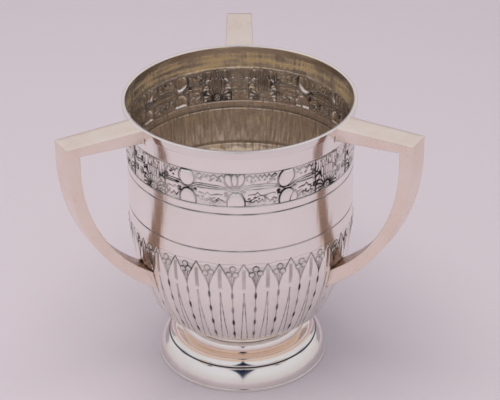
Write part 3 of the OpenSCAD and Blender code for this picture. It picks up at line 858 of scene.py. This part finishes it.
# inner strip, let in between the cheeks: its face looks into the finger gap
shares = (-1, -0.5, 0, 0.5, 1)
inner_across = [(x, SHEET, 0.0) for x in shares] + [(x, SHEET, -SHEET) for x in reversed(shares)]
inner_mesh = finish_edges(
    swept(
        "bow_inner_strip",
        bow_path(GAP_REACH, UNDER_OUTER + SHEET, BOW_INNER_Z, INNER_BOW, ROOT_HIGH, 50),
        inner_across,
    )
)
# top plate: a flat bar whose long edges and outer end are eased
top_rows = []
top_section = [(-1, 0.0, SHEET)]
top_section += [(-1, EASE * (1 - math.cos(a)), EASE * (1 - math.sin(a))) for a in quarter]
top_section += [(x, EASE, 0.0) for x in (-0.6, 0, 0.6)]
top_section += [(1, EASE * (1 - math.cos(a)), EASE * (1 - math.sin(a))) for a in reversed(quarter)]
top_section += [(1, 0.0, SHEET), (0, 0.0, SHEET)]
top_stations = [(u, 0.0) for u in np.linspace(WIRE_R - 1.2, REACH - EASE, 24)]
top_stations += [(REACH - EASE * (1 - math.sin(a)), EASE * (1 - math.cos(a))) for a in quarter[1:]]
for u, drop in top_stations:
    ring = []
    for share, inset, depth in top_section:
        v = share * (half_width(u) - inset)
        fall = max(depth, drop) if depth < SHEET else depth
        ring.append((float(coped(u, v, ARM_TOP - 0.5, 0.15)), v, ARM_TOP - fall))
    top_rows.append(ring)
top_mesh = finish_edges(bar("arm_top_plate", top_rows))
# under plate, let in between the cheeks, sloping a little from the cup to the bow
under_rows = []
for u in np.linspace(STRAIGHT_R - 1.2, GAP_REACH, 30):
    face_z = arm_underside(u)
    ring = []
    for x, depth in ((-1, 0), (-0.5, 0), (0, 0), (0.5, 0), (1, 0), (1, SHEET), (0, SHEET), (-1, SHEET)):
        v = x * (half_width(u) - SHEET)
        ring.append((float(coped(u, v, face_z)), v, face_z + depth))
    under_rows.append(ring)
under_mesh = finish_edges(bar("arm_under_plate", under_rows))
# cheek: one flat side in the shape of the whole handle, eased round the finger gap
outer_side = bow_path(REACH - SHEET, ARM_TOP - SHEET, BOW_OUTER_Z, OUTER_BOW - SHEET, ROOT_LOW, 60)
inner_side = bow_path(GAP_REACH, UNDER_OUTER, BOW_INNER_Z, INNER_BOW, ROOT_HIGH, 50)


def cheek_mesh(name, side):
    arm_under = [(u, arm_underside(u)) for u in np.linspace(GAP_REACH - 0.02, STRAIGHT_R - 1.2, 14)]
    top_edge = [(u, ARM_TOP - SHEET) for u in np.linspace(WIRE_R - 1.0, REACH - SHEET, 14)]
    outline = top_edge + [(p[0], p[1]) for p in outer_side[1:]]
    soft_from = len(outline)
    outline += [(p[0], p[1]) for p in inner_side[::-1]] + arm_under
    outline = np.array(outline)
    soft = np.zeros(len(outline))
    soft[soft_from:] = 1.0
    edge = np.roll(outline, -1, 0) - np.roll(outline, 1, 0)
    normal = np.stack([-edge[:, 1], edge[:, 0]], 1) / np.maximum(np.hypot(*edge.T), 1e-6)[:, None]
    rows = []
    levels = [(SHEET, 0.0)] + [(EASE * (1 - math.sin(a)), EASE * (1 - math.cos(a))) for a in quarter]
    for depth, inset in levels:
        moved = outline - normal * (inset * soft)[:, None]
        ring = []
        for u, z in moved:
            v = side * (half_width(u) - depth)
            ring.append((float(coped(u, v, z)), v, z))
        rows.append(ring)
    return finish_edges(bar(name, rows))


handle_meshes = {
    "top_plate": top_mesh,
    "outer_strip": outer_mesh,
    "under_plate": under_mesh,
    "inner_strip": inner_mesh,
    "cheek_left": cheek_mesh("handle_cheek_left", -1),
    "cheek_right": cheek_mesh("handle_cheek_right", 1),
}

# Sterling silver filed and papered to a satin, which blurs what it mirrors. It carries
# a thin warm film where hands hold it.
satin_silver = bpy.data.materials.new("sterling_silver_satin_filed")
satin_silver.use_nodes = True
tree = satin_silver.node_tree
shader = tree.nodes["Principled BSDF"]
place = put(tree, "ShaderNodeTexCoord").outputs["Object"]
film = put(tree, "ShaderNodeTexNoise", {"Scale": 55.0, "Detail": 4.0, "Roughness": 0.55}, {"Vector": place})
film = film.outputs["Fac"]
tree.links.new(mixed(tree, film, "#faf1e9", "#efdccb"), shader.inputs["Base Color"])
shader.inputs["Metallic"].default_value = 1.0
tree.links.new(ramp(tree, film, 0.3, 0.7, 0.2, 0.3), shader.inputs["Roughness"])
# file and paper scratches lie along the bars; they are about 0.2 mm apart, drawn at 4 mm
along = put(tree, "ShaderNodeMapping", {"Scale": (1.0, 1.0, 0.25)}, {"Vector": place}).outputs[0]
scratch = put(tree, "ShaderNodeTexNoise", {"Scale": 220.0, "Detail": 1.0}, {"Vector": along}).outputs["Fac"]
bump = put(tree, "ShaderNodeBump", {"Strength": 0.012, "Distance": 0.0001}, {"Height": scratch})
tree.links.new(bump.outputs[0], shader.inputs["Normal"])
# Painted shade: the faces that look at the cup and the plate under the arm get a darker, browner copy of the
# satin silver.
tarnished_silver = satin_silver.copy()
tarnished_silver.name = "sterling_silver_satin_painted_shade"
for shade in tarnished_silver.node_tree.nodes:
    if shade.bl_idname == "ShaderNodeMix":
        shade.inputs[6].default_value = srgb("#bfa092")
        shade.inputs[7].default_value = srgb("#a08070")
HANDLES = (("a", 0), ("b", 120), ("c", 240))
for letter, turn in HANDLES:
    for part, pattern in handle_meshes.items():
        mesh = pattern.copy()
        mesh.name = f"handle_{letter}_{part}_sheet"
        mesh.transform(Matrix.Rotation(math.radians(turn), 4, "Z"))
        mesh.materials.append(tarnished_silver if part in ("inner_strip", "under_plate") else satin_silver)
        piece(f"handle_{letter}_{part}_sheet", mesh, "handle_silver", f"handle_{letter}_{part}")
for pattern in handle_meshes.values():
    bpy.data.meshes.remove(pattern)

# Solder fillets: a thin concave bead fills the corner where the arm's front and back
# faces meet the cup, and another runs up each side of the bow's root.
solder = bpy.data.materials.new("silver_solder_run_and_pickled")
solder.use_nodes = True
tree = solder.node_tree
shader = tree.nodes["Principled BSDF"]
place = put(tree, "ShaderNodeTexCoord").outputs["Object"]
film = put(tree, "ShaderNodeTexNoise", {"Scale": 420.0, "Detail": 4.0}, {"Vector": place}).outputs["Fac"]
tree.links.new(mixed(tree, film, "#d9c8b4", "#6d5648"), shader.inputs["Base Color"])
shader.inputs["Metallic"].default_value = 1.0
shader.inputs["Roughness"].default_value = 0.38
bump = put(tree, "ShaderNodeBump", {"Strength": 0.1, "Distance": 0.0003}, {"Height": film})
tree.links.new(bump.outputs[0], shader.inputs["Normal"])
JOINTS = (("arm", UNDER_INNER + 0.3, WIRE_Z0 - 0.2), ("root", ROOT_LOW + 0.6, ROOT_HIGH - 0.6))
for letter, turn in HANDLES:
    for joint, z0, z1 in JOINTS:
        for side in (-1, 1):
            rows = []
            for z in np.linspace(z0, z1, 14):
                wall = float(body_radius(z))
                v = half_width(wall)
                u = math.sqrt(wall * wall - v * v)
                bead = 0.55 + 0.12 * rng.normal()
                bead *= min(1.0, 0.35 + 3 * (z - z0) / (z1 - z0), 0.35 + 3 * (z1 - z) / (z1 - z0))
                hollow = bead * 0.42
                ring = [(-0.25, -0.2), (bead, -0.2), (hollow, hollow), (-0.2, bead), (-0.25, bead)]
                rows.append([(u + b, side * (v + a), z) for a, b in ring])
            mesh = finish_edges(bar(f"solder_{letter}_{joint}_{side + 1}", rows), 60)
            mesh.transform(Matrix.Rotation(math.radians(turn), 4, "Z"))
            mesh.materials.append(solder)
            piece(mesh.name, mesh, "handle_silver")
